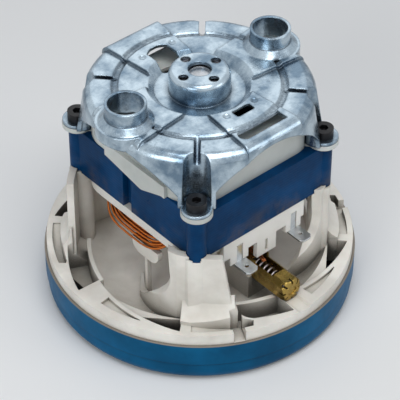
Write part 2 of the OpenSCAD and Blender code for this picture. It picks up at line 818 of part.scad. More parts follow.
module blade_foot() {
    intersection() {
        translate(blade_offset) rotate_extrude($fn = 90) difference() {
            translate([blade_r - 1.5, ring_z - 6]) square([7, foot_round + 6.6]);
            translate([blade_r + foot_round - 0.6, ring_z + foot_round + 0.6]) circle(r = foot_round, $fn = 48);
        }
        translate([0, 0, floor_z]) linear_extrude(horn_z) intersection() {
            circle(r = foot_out_r, $fn = 60);
            sector(-6.4, 30, 2 * cover_r);
        }
        translate([20, 0, 0]) rotate([90, 0, 90]) linear_extrude(cover_r) difference() {
            translate([-20, floor_z]) square([20 + foot_right, horn_z - floor_z]);
            translate([foot_right + 0.3, ring_z + foot_right_round]) circle(r = foot_right_round, $fn = 48);
            translate([foot_right + 0.3 - foot_right_round, ring_z + foot_right_round]) square([20, horn_z]);
        }
    }
}

// Sloping gutter between the foot and the rim, and the notch where it leaves through the rim
notch_turn = 15.8;
rim_notch_w = 5;

module gutter() {
    intersection() {
        translate([foot_out_r - 4, 0, 0]) rotate([90, 0, 90]) linear_extrude(10)
            polygon([[-2, ring_z - 0.5], [23, ring_z - 4.5], [23, ring_z + 1], [-2, ring_z + 1]]);
        translate([0, 0, floor_z]) linear_extrude(ring_z) difference() {
            circle(r = rim_in_r, $fn = 90);
            circle(r = foot_out_r, $fn = 60);
        }
    }
}

module rim_notch() {
    rotate([0, 0, notch_turn]) translate([foot_out_r - 2, -rim_notch_w / 2, ring_z - 5])
        cube([cover_r, rim_notch_w, ring_z]);
}

// Shallow crescent in the ring's top, outside the wall of a free channel
module ring_recess(a) {
    intersection() {
        circle(r = rim_in_r - 1.6, $fn = 90);
        difference() {
            sector(a - 34, a - 16, 2 * cover_r);
            guide_disc(a, 1.8);
        }
    }
}

// Rest under a field coil and trough under a brush holder, on the -X and -Y sides
rest_at = [-36.6, -8, 41];
rest_half_w = 3.1;
rest_r = 5.2;
rest_top = 42.8;
rest_stem = [2, 1.6];

module coil_rest() {
    intersection() {
        translate(rest_at) rotate([90, 0, 90]) linear_extrude(rest_stem[0] + 0.6) {
            for (s = [-1, 1]) translate([s * rest_half_w, 0]) circle(r = rest_r);
            translate([-rest_half_w, -rest_r]) square([2 * rest_half_w, 2 * rest_r]);
        }
        translate([-cover_r, -cover_r, 0]) cube([cover_d, cover_d, rest_top]);
    }
    translate([rest_at[0] + 0.4, rest_at[1] - rest_stem[1] / 2, floor_top - 1])
        cube([rest_stem[0], rest_stem[1], rest_at[2] - floor_top + 1]);
}

trough_start = 15.5;
trough_end = 38;

module brush_trough() {
    half_w = holder_w / 2 + 1.8;
    translate([-half_w, -trough_end, floor_top - 1])
        cube([2 * half_w, trough_end - trough_start, brush_z - holder_h / 2 + 3 - floor_top + 1]);
}

module housing_solid() {
    translate([0, 0, floor_z]) {
        cylinder(r = ring_r, h = floor_t);
        cylinder(r = hub_out_r, h = lower_bearing_top - floor_z);
        linear_extrude(ring_z - floor_z) difference() {
            circle(r = ring_r, $fn = 90);
            bowl_outline();
        }
    }
    translate([0, 0, ledge_z]) ring(ring_r, rim_in_r, floor_z - ledge_z + 1);
    rotate_extrude($fn = 90) difference() {
        translate([bowl_r, floor_z]) square([mouth_back_r - bowl_r, bowl_sill_z - floor_z]);
        translate([bowl_r, floor_top + bowl_round]) circle(r = bowl_round, $fn = 60);
    }
    for (q = quarter) {
        translate([0, 0, floor_top - 1]) linear_extrude(ring_z - floor_top + 1) lip(first_end + q);
        rotate([0, 0, first_end + q + pillar_turn]) {
            blade();
            blade_foot();
        }
    }
    at_screws() intersection() {
        translate([0, 0, floor_z + 1]) cylinder(r = boss_r, h = stack_z - floor_z);
        translate([-screw_dist, 0, 0]) cylinder(r = screw_dist + boss_r - 1.2, h = horn_z);
    }
    for (side = [0, 180]) rotate([0, 0, side]) {
        coil_rest();
        brush_trough();
    }
}

module housing() {
    color([0.86, 0.84, 0.79]) difference() {
        housing_solid();
        for (q = quarter) let (a = first_end + q) {
            translate([0, 0, floor_top]) linear_extrude(ring_z) pocket(a);
            for (turn = [0, free_turn]) translate([0, 0, ledge_z - 1])
                linear_extrude(ring_z - ledge_z + 2) mouth(a + turn);
            translate([0, 0, ring_z - 1.5]) linear_extrude(2) ring_recess(a + free_turn);
            rotate([0, 0, a + pillar_turn]) gutter();
        }
        for (q = [0, 90]) rotate([0, 0, first_end + q + pillar_turn]) rim_notch();
        translate([0, 0, stack_z]) linear_extrude(stack_h) stack_outline(0.25);
        at_screws() translate([0, 0, 38]) cylinder(d = screw_d, h = stack_h);
        translate([0, 0, lower_bearing_z]) cylinder(r = bearing_r + seat_gap, h = ring_z);
        translate([0, 0, ledge_z]) cylinder(r = inner_ring_r + 1, h = ring_z);
        for (side = [0, 180]) rotate([0, 0, side]) along_brush(holder_start - 3, cover_r)
            octagon(holder_w + 0.04, holder_h, holder_corner);
    }
}

// Bearing bracket: the outer skin less the same skin drawn one sheet thickness further in
cup_r = bearing_r + seat_gap + sheet_t;
groove_r = 18.2;
groove_slope = 0.95;
groove_z = 99.5;
bead_r = 34;
bead_tool_r = 2;
bead_depth = 0.8;
skirt_r = 47;
skirt_foot_r = 50;
shoulder_round = 5;
arm_y = 44.8;
arm_x = 44;
arm_low_z = 88;
arm_taper = 0.1;
lobe_out_r = 12.4;
pocket_dist = screw_dist - 1.8;
crease_r = 1.3;
crease_start = [33, 0, panel_z + 0.9];
crease_tilt = 32;
crease_len = 14;

module bead(level, inset) {
    rotate_extrude($fn = 96) translate([bead_r, level + bead_tool_r - bead_depth])
        circle(r = bead_tool_r + inset, $fn = 48);
}

module dome(inset) {
    top = panel_z - inset;
    base_z = foot_z - 2 * inset;
    difference() {
        rotate_extrude($fn = 96) {
            polygon([[0, base_z], [skirt_foot_r - inset, base_z], [skirt_r - inset, panel_z - shoulder_round],
                [0, panel_z - shoulder_round]]);
            translate([0, base_z]) square([skirt_r - shoulder_round, top - base_z]);
            intersection() {
                translate([skirt_r - shoulder_round, panel_z - shoulder_round])
                    circle(r = shoulder_round - inset, $fn = 48);
                square([cover_r, cover_d]);
            }
        }
        bead(panel_z, inset);
    }
}

module arm_profile(half_len, inset) {
    round_r = 4;
    translate([-half_len + inset, arm_low_z]) square([2 * (half_len - inset), arm_z - round_r - arm_low_z]);
    translate([-half_len + round_r, arm_low_z]) square([2 * (half_len - round_r), arm_z - inset - arm_low_z]);
    for (s = [-1, 1]) translate([s * (half_len - round_r), arm_z - round_r]) circle(r = round_r - inset, $fn = 48);
}

// The four arms from above: each grows wider towards its end
module arm_plan(inset) {
    reach = arm_y + 5;
    far_w = arm_half_w + 5 * arm_taper - inset;
    near_w = far_w - reach * arm_taper;
    for (q = quarter) rotate(q) polygon([[0, -near_w], [reach, -far_w], [reach, far_w], [0, near_w]]);
}

module arms(inset) {
    wide = arm_half_w + cut;
    difference() {
        union() {
            intersection() {
                union() {
                    translate([-wide, 0, 0]) rotate([90, 0, 90]) linear_extrude(2 * wide)
                        arm_profile(arm_y, inset);
                    translate([0, wide, 0]) rotate([90, 0, 0]) linear_extrude(2 * wide)
                        arm_profile(arm_x, inset);
                }
                translate([0, 0, arm_low_z]) linear_extrude(cover_h) arm_plan(inset);
            }
            for (s = [-1, 1]) translate([s * collar_x, 0, arm_low_z])
                cylinder(r = lobe_out_r - inset, h = arm_z - inset - arm_low_z);
        }
        bead(arm_z, inset);
    }
}

module bracket_skin(inset) {
    difference() {
        union() {
            intersection() {
                dome(inset);
                translate([0, 0, panel_z / 2]) cube([2 * cover_d, 2 * (arm_y - inset), 2 * panel_z], center = true);
            }
            arms(inset);
        }
        translate([0, 0, groove_z - inset])
            cylinder(r1 = groove_r + 0.4 * inset, r2 = groove_r + 0.4 * inset + groove_slope * cover_h, h = cover_h);
        for (a = screw_angles) rotate([0, 0, a]) {
            translate([pocket_dist, 0, 0]) cylinder(r = pocket_r + inset, h = cover_d);
            translate(crease_start) rotate([0, 90 + crease_tilt, 0]) linear_extrude(crease_len) {
                circle(r = crease_r + inset, $fn = 48);
                translate([-cover_h, -crease_r - inset]) square([cover_h, 2 * (crease_r + inset)]);
            }
        }
    }
    cup_round = 2.4;
    rotate_extrude($fn = 96) {
        translate([0, groove_z - 3 * inset - cut]) square([cup_r - inset, cup_z - cup_round - groove_z + 3 * inset + cut]);
        translate([0, groove_z]) square([cup_r - cup_round, cup_z - inset - groove_z]);
        intersection() {
            translate([cup_r - cup_round, cup_z - cup_round]) circle(r = cup_round - min(inset, 1.3), $fn = 48);
            square([cup_r - inset, cup_z - inset]);
        }
    }
}

// Everything that is punched or trimmed out of the drawn sheet
module bracket_cuts() {
    cup_hole_r = 4.8;
    small_hole_r = 2.05;
    small_hole_dist = 8.56;
    translate([0, 0, groove_z]) {
        cylinder(r = cup_hole_r, h = 20);
        for (q = quarter) rotate([0, 0, q]) translate([small_hole_dist, 0, 0])
            cylinder(r = small_hole_r, h = 20, $fn = 32);
    }
    // side arches, which leave the walls of the screw pockets standing
    difference() {
        for (side = [0, 180]) rotate([0, 0, side]) {
            translate([-1, -22, 66]) rotate([90, 0, 0]) cylinder(r = 33, h = cover_r, $fn = 96);
            translate([-22, 0, 58.5]) rotate([0, -90, 0]) cylinder(r = 40, h = cover_r, $fn = 96);
            translate([-29, -cover_r, 0]) cube([58, 38, 81]);
            translate([-cover_r, -32, 0]) cube([38, 64, 84]);
        }
        for (a = screw_angles) rotate([0, 0, a]) translate([pocket_dist, 0, -cut])
            cylinder(r = pocket_r + sheet_t + 0.3, h = cover_d);
    }
    for (s = [-1, 1]) translate([s * collar_x, 0, 90]) cylinder(r = collar_bore / 2, h = 40);
    // window of the back arm, and the dimples beside it and beside the front slot
    translate([0, 0, 90]) linear_extrude(20) intersection() {
        translate([0.75, 22.7]) circle(r = 7, $fn = 48);
        translate([-4.5, 16.8]) square([10.5, 12.8]);
    }
    for (at = [[-7.2, 27], [8.6, 27], [-7, -24], [8, -23.5]])
        translate([at[0], at[1], arm_z + 1.9]) sphere(r = 2.5, $fn = 32);
    // windows of the front arm
    translate([0, 0, 90]) linear_extrude(20) {
        translate([0.5, -25.2]) rounded_rect(9, 4.4, 1);
        translate([-9.2, -37]) circle(r = 2.9, $fn = 32);
        translate([-9.2, -39.9]) square([19.7, 5.8]);
    }
}

module bearing_bracket() {
    foot_r = 6.2;
    base_h = 2.4;
    color([0.72, 0.75, 0.79]) {
        difference() {
            bracket_skin(0);
            bracket_skin(sheet_t);
            bracket_cuts();
            translate([0, 0, foot_z - cover_r]) cylinder(r = cover_r, h = cover_r);
        }
        for (s = [-1, 1]) translate([s * collar_x, 0, arm_z - sheet_t]) {
            ring(collar_r, collar_bore / 2, collar_z - arm_z + sheet_t);
            translate([0, 0, sheet_t - 0.2]) difference() {
                cylinder(r1 = lobe_out_r - 1, r2 = collar_r + 0.4, h = base_h + 0.2);
                translate([0, 0, -cut]) cylinder(r = collar_bore / 2, h = base_h + 2 * cut);
            }
        }
        at_screws() difference() {
            union() {
                translate([0, 0, foot_z]) cylinder(r = foot_r, h = sheet_t - 0.1);
                translate([-5.6, -5, foot_z]) cube([5, 10, sheet_t - 0.1]);
            }
            translate([0, 0, foot_z - cut]) cylinder(d = screw_d + 0.4, h = 3 * sheet_t);
        }
    }
}

module bracket_screws() {
    head_r = 4.1;
    head_h = 3.7;
    screw_end = 40;
    socket_r = 2;
    color([0.1, 0.1, 0.11]) at_screws() {
        translate([0, 0, screw_end]) cylinder(d = screw_d, h = foot_top - screw_end);
        translate([0, 0, foot_top]) difference() {
            cylinder(r = head_r, h = head_h);
            translate([0, 0, 1.4]) cylinder(r = socket_r, h = head_h, $fn = 6);
        }
    }
}

fan_cover();
housing();
impeller_back_disc();
impeller_front_disc();
impeller_vanes();
impeller_spacer();
impeller_washer();
impeller_nut();
shaft();
commutator_hub();
commutator_bars();
armature_core();
armature_winding();
lower_bearing_outer();
lower_bearing_inner();
lower_bearing_balls();
upper_bearing_outer();
upper_bearing_inner();
upper_bearing_balls();
bearing_spring_washer();
stator_stack();
field_coil_left();
field_coil_right();
lower_insulator();
upper_air_guide();
terminal_carrier();
spade_terminal_left();
spade_terminal_right();
brush_holder_front();
brush_holder_back();
carbon_brush_front();
carbon_brush_back();
brush_spring_front();
brush_spring_back();
bearing_bracket();
bracket_screws();
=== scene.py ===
import math
import bpy
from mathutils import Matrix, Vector


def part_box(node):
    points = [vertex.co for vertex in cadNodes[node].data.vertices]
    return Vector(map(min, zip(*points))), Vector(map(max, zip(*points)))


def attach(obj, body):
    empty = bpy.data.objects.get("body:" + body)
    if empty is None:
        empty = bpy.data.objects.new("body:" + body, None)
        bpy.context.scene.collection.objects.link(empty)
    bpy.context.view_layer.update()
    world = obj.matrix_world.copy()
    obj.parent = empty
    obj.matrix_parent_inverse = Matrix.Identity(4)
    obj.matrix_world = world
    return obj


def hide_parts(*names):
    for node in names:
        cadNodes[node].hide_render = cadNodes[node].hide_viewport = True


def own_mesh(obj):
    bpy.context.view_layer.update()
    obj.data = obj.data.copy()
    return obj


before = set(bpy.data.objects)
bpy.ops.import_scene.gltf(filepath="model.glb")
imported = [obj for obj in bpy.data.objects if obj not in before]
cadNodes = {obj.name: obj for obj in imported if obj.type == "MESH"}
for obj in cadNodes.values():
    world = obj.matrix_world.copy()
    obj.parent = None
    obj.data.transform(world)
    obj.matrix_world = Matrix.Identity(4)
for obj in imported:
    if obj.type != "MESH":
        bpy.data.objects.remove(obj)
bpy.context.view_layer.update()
mm = 0.001

print("camera")
# a long lens from above the corner between the terminals and the left coil
shot = {"azimuth": -41.12, "elevation": 40.33, "distance": 0.801, "target": (0, 0, 0.05), "lens": 173.3,
        "sensor": 36, "shiftX": 0.0006, "shiftY": -0.0418}


def makeCamera():
    data = bpy.data.cameras.new("camera")
    data.lens = shot["lens"]
    data.sensor_width = shot["sensor"]
    data.shift_x = shot["shiftX"]
    data.shift_y = shot["shiftY"]
    camera = bpy.data.objects.new("camera", data)
    bpy.context.scene.collection.objects.link(camera)
    turn, rise = math.radians(shot["azimuth"]), math.radians(shot["elevation"])
    back = Vector((math.sin(turn) * math.cos(rise), -math.cos(turn) * math.cos(rise), math.sin(rise)))
    camera.location = Vector(shot["target"]) + back * shot["distance"]
    camera.rotation_euler = (-back).to_track_quat("-Z", "Y").to_euler()
    bpy.context.scene.camera = camera


makeCamera()


def linear(hexColour):
    # sRGB hex to the linear colour that Blender reads
    parts = [int(hexColour[i:i + 2], 16) / 255 for i in (1, 3, 5)]
    return [p / 12.92 if p <= 0.04045 else ((p + 0.055) / 1.055) ** 2.4 for p in parts] + [1]


def emptyTree(owner):
    # the node tree of a material or a world, without the nodes that Blender puts there
    owner.use_nodes = True
    owner.node_tree.nodes.clear()
    return owner.node_tree


def addNode(tree, kind, inputs=None, out=0, **settings):
    # one node with its settings, values and links; gives back one of its outputs
    node = tree.nodes.new(kind)
    for name, value in settings.items():
        setattr(node, name, value)
    for name, value in (inputs or {}).items():
        if isinstance(value, bpy.types.NodeSocket):
            tree.links.new(value, node.inputs[name])
        else:
            node.inputs[name].default_value = value
    return node.outputs[out] if node.outputs else None


def pattern(tree, place, look):
    # the value that a coat or a mark follows; where it is given, "range" is spread and held to "share"
    if look["by"] == "clouds":
        stretch = look.get("stretch", (1, 1, 1))
        moved = addNode(tree, "ShaderNodeMapping", {"Vector": place, "Scale": stretch})
        inputs = {"Vector": moved, "Scale": 1 / (look["sizeMm"] * mm), "Detail": look["detail"],
                  "Roughness": look["fine"]}
        value = addNode(tree, "ShaderNodeTexNoise", inputs, "Fac")
    elif look["by"] == "corners":
        # 1 in the open, 0 deep in a corner
        inputs = {"Distance": look["reachMm"] * mm}
        value = addNode(tree, "ShaderNodeAmbientOcclusion", inputs, "AO", samples=8)
    elif look["by"] == "sheets":
        # a wave of scale 1 repeats every 0.314 m
        inputs = {"Vector": place, "Scale": 0.314 / (look["lineMm"] * mm), "Distortion": 0.6, "Detail": 1.0}
        value = addNode(tree, "ShaderNodeTexWave", inputs, "Fac", bands_direction="Z")
    else:
        # millimetres above the floor or away from the shaft
        counted = {"height": (0, 0, 1 / mm), "radius": (1 / mm, 1 / mm, 0)}[look["by"]]
        reach = addNode(tree, "ShaderNodeVectorMath", {0: place, 1: counted}, operation="MULTIPLY")
        value = addNode(tree, "ShaderNodeVectorMath", {0: reach}, "Value", operation="LENGTH")
    if "atMm" in look:
        past = addNode(tree, "ShaderNodeMath", {0: value, 1: look["atMm"]}, operation="SUBTRACT")
        value = addNode(tree, "ShaderNodeMath", {0: past}, operation="ABSOLUTE")
    if "range" in look:
        (low, high), (first, last) = look["range"], look["share"]
        value = addNode(tree, "ShaderNodeMapRange", {0: value, 1: low, 2: high, 3: first, 4: last})
    if "times" in look:
        inputs = {0: value, 1: pattern(tree, place, look["times"])}
        value = addNode(tree, "ShaderNodeMath", inputs, operation="MULTIPLY")
    return value


def makeFinish(look):
    # coats of colour over one another, edges rounded in the shading, then the marks of how it was made
    material = bpy.data.materials.new(look["name"])
    tree = emptyTree(material)
    place = addNode(tree, "ShaderNodeTexCoord", out="Object")
    colour = linear(look["colour"])
    for layer in look["layers"]:
        inputs = {0: pattern(tree, place, layer), 6: colour, 7: linear(layer["colour"])}
        colour = addNode(tree, "ShaderNodeMix", inputs, 2, data_type="RGBA")
    normal = addNode(tree, "ShaderNodeBevel", {"Radius": look["edgeMm"] * mm}, samples=6)
    for mark in look["marks"]:
        inputs = {"Height": pattern(tree, place, mark), "Distance": mark["depthMm"] * mm,
                  "Strength": mark["strength"], "Normal": normal}
        normal = addNode(tree, "ShaderNodeBump", inputs)
    inputs = {"Base Color": colour, "Roughness": pattern(tree, place, look["rough"]), "Normal": normal}
    shader = addNode(tree, "ShaderNodeBsdfPrincipled", {**inputs, **look["shader"]})
    addNode(tree, "ShaderNodeOutputMaterial", {"Surface": shader})
    return material


print("materials")
# sprayed steel: slow change of colour, faint orange peel, painted shade in corners and at the pressed step,
# paint rubbed off the rim
sprayedSteel = {
    "name": "sprayed_steel", "colour": "#07486c", "edgeMm": 0.4,
    "layers": [
        {"by": "clouds", "sizeMm": 28, "detail": 4, "fine": 0.6, "range": (0.35, 0.65), "share": (0, 1),
         "colour": "#0b5f8a"},
        # painted shade: darker where occlusion finds a near surface
        {"by": "corners", "reachMm": 2, "range": (0.55, 0.95), "share": (0.8, 0), "colour": "#0a2438"},
        # painted shadow: a dark line under the pressed step
        {"by": "height", "atMm": 9.55, "range": (0.1, 0.5), "share": (0.85, 0), "colour": "#0a2438"},
        {"by": "height", "range": (19.5, 19.75), "share": (0, 1), "colour": "#8b847b"}],
    "marks": [{"by": "clouds", "sizeMm": 1.1, "detail": 2, "fine": 0.4, "depthMm": 0.02, "strength": 0.35}],
    "rough": {"by": "clouds", "sizeMm": 6, "detail": 5, "fine": 0.7, "range": (0.3, 0.7),
              "share": (0.39, 0.52)},
    "shader": {"Metallic": 0.45, "Specular IOR Level": 0.08}}

# drawn and zinc-plated sheet: bright, with drawing streaks, dull stains, painted shade in the creases and a
# darker speckled ring along the bead
drawingStreaks = {"by": "clouds", "sizeMm": 7, "detail": 6, "fine": 0.8, "stretch": (1, 14, 14)}
zincSheet = {
    "name": "zinc_plated_sheet", "colour": "#b6c6d1", "edgeMm": 0.9,
    "layers": [
        {"by": "clouds", "sizeMm": 13, "detail": 6, "fine": 0.62, "range": (0.4, 0.62), "share": (0, 1),
         "colour": "#6b8092"},
        {"by": "clouds", "sizeMm": 4.5, "detail": 7, "fine": 0.72, "range": (0.6, 0.72), "share": (0, 0.5),
         "colour": "#303c49"},
        # darker and speckled along the pressed bead, 34.2 mm from the shaft
        {"by": "radius", "atMm": 34.2, "range": (0.6, 2.2), "share": (0.75, 0), "colour": "#56616b",
         "times": {"by": "clouds", "sizeMm": 1.1, "detail": 4, "fine": 0.7, "range": (0.35, 0.6),
                   "share": (0.3, 1)}},
        # painted shade: darker where occlusion finds a near surface
        {"by": "corners", "reachMm": 3.5, "range": (0.45, 0.95), "share": (0.85, 0), "colour": "#303c49"}],
    "marks": [
        {**drawingStreaks, "depthMm": 0.05, "strength": 0.25},
        {"by": "clouds", "sizeMm": 6, "detail": 5, "fine": 0.8, "stretch": (12, 1, 12), "depthMm": 0.04,
         "strength": 0.2},
        {"by": "clouds", "sizeMm": 16, "detail": 2, "fine": 0.4, "depthMm": 0.9, "strength": 0.5}],
    "rough": {**drawingStreaks, "range": (0.35, 0.7), "share": (0.12, 0.36)},
    "shader": {"Metallic": 0.92}}

# stack of lacquered iron sheets: level lines, and brown varnish near the lower edge
# the sheets are 0.65 mm thick, and every second line is drawn, so that the lines show
lacqueredIron = {
    "name": "lacquered_laminations", "colour": "#05406f", "edgeMm": 0.3,
    "layers": [
        {"by": "clouds", "sizeMm": 18, "detail": 5, "fine": 0.6, "range": (0.35, 0.7), "share": (0, 1),
         "colour": "#042b4e"},
        {"by": "height", "range": (54.8, 66), "share": (0.75, 0), "colour": "#57504e",
         "times": {"by": "clouds", "sizeMm": 15, "detail": 6, "fine": 0.7, "range": (0.5, 0.68),
                   "share": (0, 1)}}],
    "marks": [
        {"by": "sheets", "lineMm": 1.3, "depthMm": 0.06, "strength": 0.45},
        {"by": "clouds", "sizeMm": 1.2, "detail": 4, "fine": 0.6, "depthMm": 0.04, "strength": 0.3}],
    "rough": {"by": "clouds", "sizeMm": 8, "detail": 5, "fine": 0.7, "range": (0.3, 0.7),
              "share": (0.26, 0.48)},
    "shader": {"Specular IOR Level": 0.06}}


def moulded(name, colour, shade, rough, grainMm=0.5, cornerShadeShare=0.5, reachMm=7, deepShadeShare=0):
    # moulded plastic: satin grain, slow change of colour, specks, and painted shade in the corners
    layers = [
        {"by": "clouds", "sizeMm": 22, "detail": 4, "fine": 0.55, "range": (0.4, 0.7), "share": (0, 0.35),
         "colour": shade},
        # painted shade: towards the shade colour where occlusion finds a near surface
        {"by": "corners", "reachMm": reachMm, "range": (0.25, 0.9), "share": (cornerShadeShare, 0),
         "colour": shade}]
    if deepShadeShare:
        # painted shade, near black, deep in the mouths and under the iron
        layers.append({"by": "corners", "reachMm": 26, "range": (0.12, 0.42), "share": (deepShadeShare, 0),
                       "colour": "#1a1714"})
    layers.append({"by": "clouds", "sizeMm": 1.6, "detail": 6, "fine": 0.7, "range": (0.66, 0.74),
                   "share": (0, 0.35), "colour": shade})
    return {"name": name, "colour": colour, "edgeMm": 0.5, "layers": layers,
            "marks": [{"by": "clouds", "sizeMm": grainMm, "detail": 3, "fine": 0.6, "depthMm": 0.03,
                       "strength": 0.3}],
            "rough": {"by": "clouds", "sizeMm": 9, "detail": 4, "fine": 0.6, "range": (0.3, 0.7),
                      "share": (rough - 0.06, rough + 0.08)},
            "shader": {"Subsurface Weight": 0.06, "Subsurface Scale": 2 * mm}}


def bareMetal(name, colour, stain, rough, markMm=0.35, stainShare=0.6, stretch=(1, 1, 1), metal=1.0):
    # a metal piece: its own tint, clouded by handling, with fine tool marks
    handled = {"by": "clouds", "sizeMm": 5, "detail": 5, "fine": 0.65}
    return {"name": name, "colour": colour, "edgeMm": 0.25,
            "layers": [{**handled, "range": (0.45, 0.72), "share": (0, stainShare), "colour": stain}],
            "marks": [{"by": "clouds", "sizeMm": markMm, "detail": 4, "fine": 0.7, "stretch": stretch,
                       "depthMm": 0.02, "strength": 0.35}],
            "rough": {**handled, "range": (0.3, 0.7), "share": (rough - 0.05, rough + 0.1)},
            "shader": {"Metallic": metal}}


looks = {
    "coverPaint": sprayedSteel,
    "zinc": zincSheet,
    "iron": lacqueredIron,
    # off-white and satin, with painted brown shade in every corner and painted near-black shade in the
    # mouths
    "housing": moulded("glass_filled_polyester", "#efece4", "#877c69", 0.42, cornerShadeShare=0.55, reachMm=13,
                       deepShadeShare=0.85),
    # pale grey and a little duller
    "guide": moulded("moulded_nylon_hood", "#cfd3cf", "#949a96", 0.45),
    # clean white with a soft shine
    "insulator": moulded("moulded_white_nylon", "#eceae4", "#b9b6ab", 0.4),
    # dark brown and matt
    "phenolic": moulded("phenolic_moulding", "#46281a", "#2a1710", 0.5),
    # black and matt, with a sandy grain
    "carbon": moulded("pressed_carbon", "#262628", "#141416", 0.55, 0.3),
    # clear enamel over drawn wire: orange with a wet shine
    "copper": bareMetal("enamelled_copper_wire", "#c8702c", "#7a3d14", 0.3, 0.5, metal=0.75),
    # yellow chromate on drawn brass: olive gold, strongly clouded
    "brass": bareMetal("passivated_brass", "#a98f4e", "#5e4d26", 0.26, 0.6, 0.8),
    # thin tin on stamped brass: white and softly bright
    "tin": bareMetal("tinned_brass", "#c9ccce", "#8c9093", 0.3),
    # oxide black with a faint oily shine
    "blackSteel": bareMetal("black_oxide_steel", "#1c1c1f", "#0d0d0e", 0.38, 0.3, metal=0.5),
    # ground bright
    "ground": bareMetal("ground_steel", "#b4b7bb", "#85878b", 0.25, 0.25),
    # drawn hard and slightly pink
    "spring": bareMetal("spring_wire", "#a8a2a4", "#6b6567", 0.28, 0.25),
    # rolled and pressed, pale
    "aluminium": bareMetal("pressed_aluminium", "#c6c8ca", "#999b9e", 0.32, 0.5),
    # turned and then worn by the brushes: pink brown
    "barCopper": bareMetal("commutator_copper", "#b9744a", "#5a3424", 0.33, 0.4),
    # stacked sheets, turned on the outside
    "coreIron": bareMetal("core_laminations", "#7f8389", "#54575c", 0.4, 0.5, stretch=(1, 1, 6)),
}
finishes = {finish: makeFinish(look) for finish, look in looks.items()}

piecesOf = {
    "coverPaint": ["fan_cover"],
    "zinc": ["bearing_bracket"],
    "iron": ["stator_stack"],
    "housing": ["housing"],
    "guide": ["upper_air_guide"],
    "insulator": ["lower_insulator", "terminal_carrier"],
    "phenolic": ["commutator_hub"],
    "carbon": ["carbon_brush_front", "carbon_brush_back"],
    "copper": ["armature_winding", "field_coil_left", "field_coil_right"],
    "brass": ["brush_holder_front", "brush_holder_back"],
    "tin": ["spade_terminal_left", "spade_terminal_right"],
    "blackSteel": ["bracket_screws"],
    "ground": ["shaft", "impeller_spacer", "impeller_washer", "impeller_nut",
               "lower_bearing_outer", "lower_bearing_inner", "lower_bearing_balls",
               "upper_bearing_outer", "upper_bearing_inner", "upper_bearing_balls"],
    "spring": ["bearing_spring_washer", "brush_spring_front", "brush_spring_back"],
    "aluminium": ["impeller_back_disc", "impeller_front_disc", "impeller_vanes"],
    "barCopper": ["commutator_bars"],
    "coreIron": ["armature_core"],
}

for finish, names in piecesOf.items():
    for name in names:
        cadNodes[name].data.materials.clear()
        cadNodes[name].data.materials.append(finishes[finish])


def wireTree():
    # draws a round wire along each path, and repeats the whole set round the shaft
    tree = bpy.data.node_groups.new("windWire", "GeometryNodeTree")
    sockets = {"Geometry": "Geometry", "Radius": "Float", "Sides": "Int", "Copies": "Int",
               "Material": "Material"}
    for label, kind in sockets.items():
        tree.interface.new_socket(label, in_out="INPUT", socket_type="NodeSocket" + kind)
    tree.interface.new_socket("Geometry", in_out="OUTPUT", socket_type="NodeSocketGeometry")
    given = addNode(tree, "NodeGroupInput").node.outputs
    path = addNode(tree, "GeometryNodeMeshToCurve", {"Mesh": given["Geometry"]})
    section = addNode(tree, "GeometryNodeCurvePrimitiveCircle",
                      {"Resolution": given["Sides"], "Radius": given["Radius"]})
    wire = addNode(tree, "GeometryNodeCurveToMesh",
                   {"Curve": path, "Profile Curve": section, "Fill Caps": True})
    smooth = addNode(tree, "GeometryNodeSetShadeSmooth", {"Geometry": wire})
    places = addNode(tree, "GeometryNodePoints", {"Count": given["Copies"]})
    index = addNode(tree, "GeometryNodeInputIndex")
    share = addNode(tree, "ShaderNodeMath", {0: index, 1: given["Copies"]}, operation="DIVIDE")
    turn = addNode(tree, "ShaderNodeMath", {0: share, 1: 2 * math.pi}, operation="MULTIPLY")
    angle = addNode(tree, "ShaderNodeCombineXYZ", {"Z": turn})
    copies = addNode(tree, "GeometryNodeInstanceOnPoints",
                     {"Points": places, "Instance": smooth, "Rotation": angle})
    real = addNode(tree, "GeometryNodeRealizeInstances", {"Geometry": copies})
    dressed = addNode(tree, "GeometryNodeSetMaterial", {"Geometry": real, "Material": given["Material"]})
    addNode(tree, "NodeGroupOutput", {"Geometry": dressed})
    return tree


wireMaker = wireTree()


def wind(name, paths, look, finish, body, copies=1):
    # winds wire along the paths and keeps the result as a plain mesh that rides on a body
    lines = bpy.data.meshes.new(name + "Path")
    points, edges = [], []
    for path in paths:
        edges += [(len(points) + i, len(points) + i + 1) for i in range(len(path) - 1)]
        points += path
    lines.from_pydata(points, edges, [])
    source = bpy.data.objects.new(name + "Path", lines)
    bpy.context.scene.collection.objects.link(source)
    modifier = source.modifiers.new("wind", "NODES")
    modifier.node_group = wireMaker
    values = {"Radius": look["wireMm"] * mm / 2, "Sides": look["wireSides"], "Copies": copies,
              "Material": finishes[finish]}
    for item in wireMaker.interface.items_tree:
        if item.in_out == "INPUT" and item.name in values:
            modifier[item.identifier] = values[item.name]
    mesh = bpy.data.meshes.new_from_object(source.evaluated_get(bpy.context.evaluated_depsgraph_get()))
    source.modifiers.clear()
    bpy.data.objects.remove(source)
    mesh.name = name
    piece = bpy.data.objects.new(name, mesh)
    bpy.context.scene.collection.objects.link(piece)
    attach(piece, body)
    return piece


print("field coils")
# a flat packed winding round each pole's neck, bent outwards below and above the iron
coil = {"wireMm": 0.92, "wireSides": 6, "pitchMm": 0.98, "turns": 10, "layers": 5, "inFaceMm": 25.7,
        "halfWidthMm": 12.3, "overIronMm": 1.4, "squareness": 0.55, "lowBulgeMm": 7.2, "topBulgeMm": 4,
        "bulgeOverMm": 10, "bulgeCurve": 1.25, "stepsPerTurn": 48}


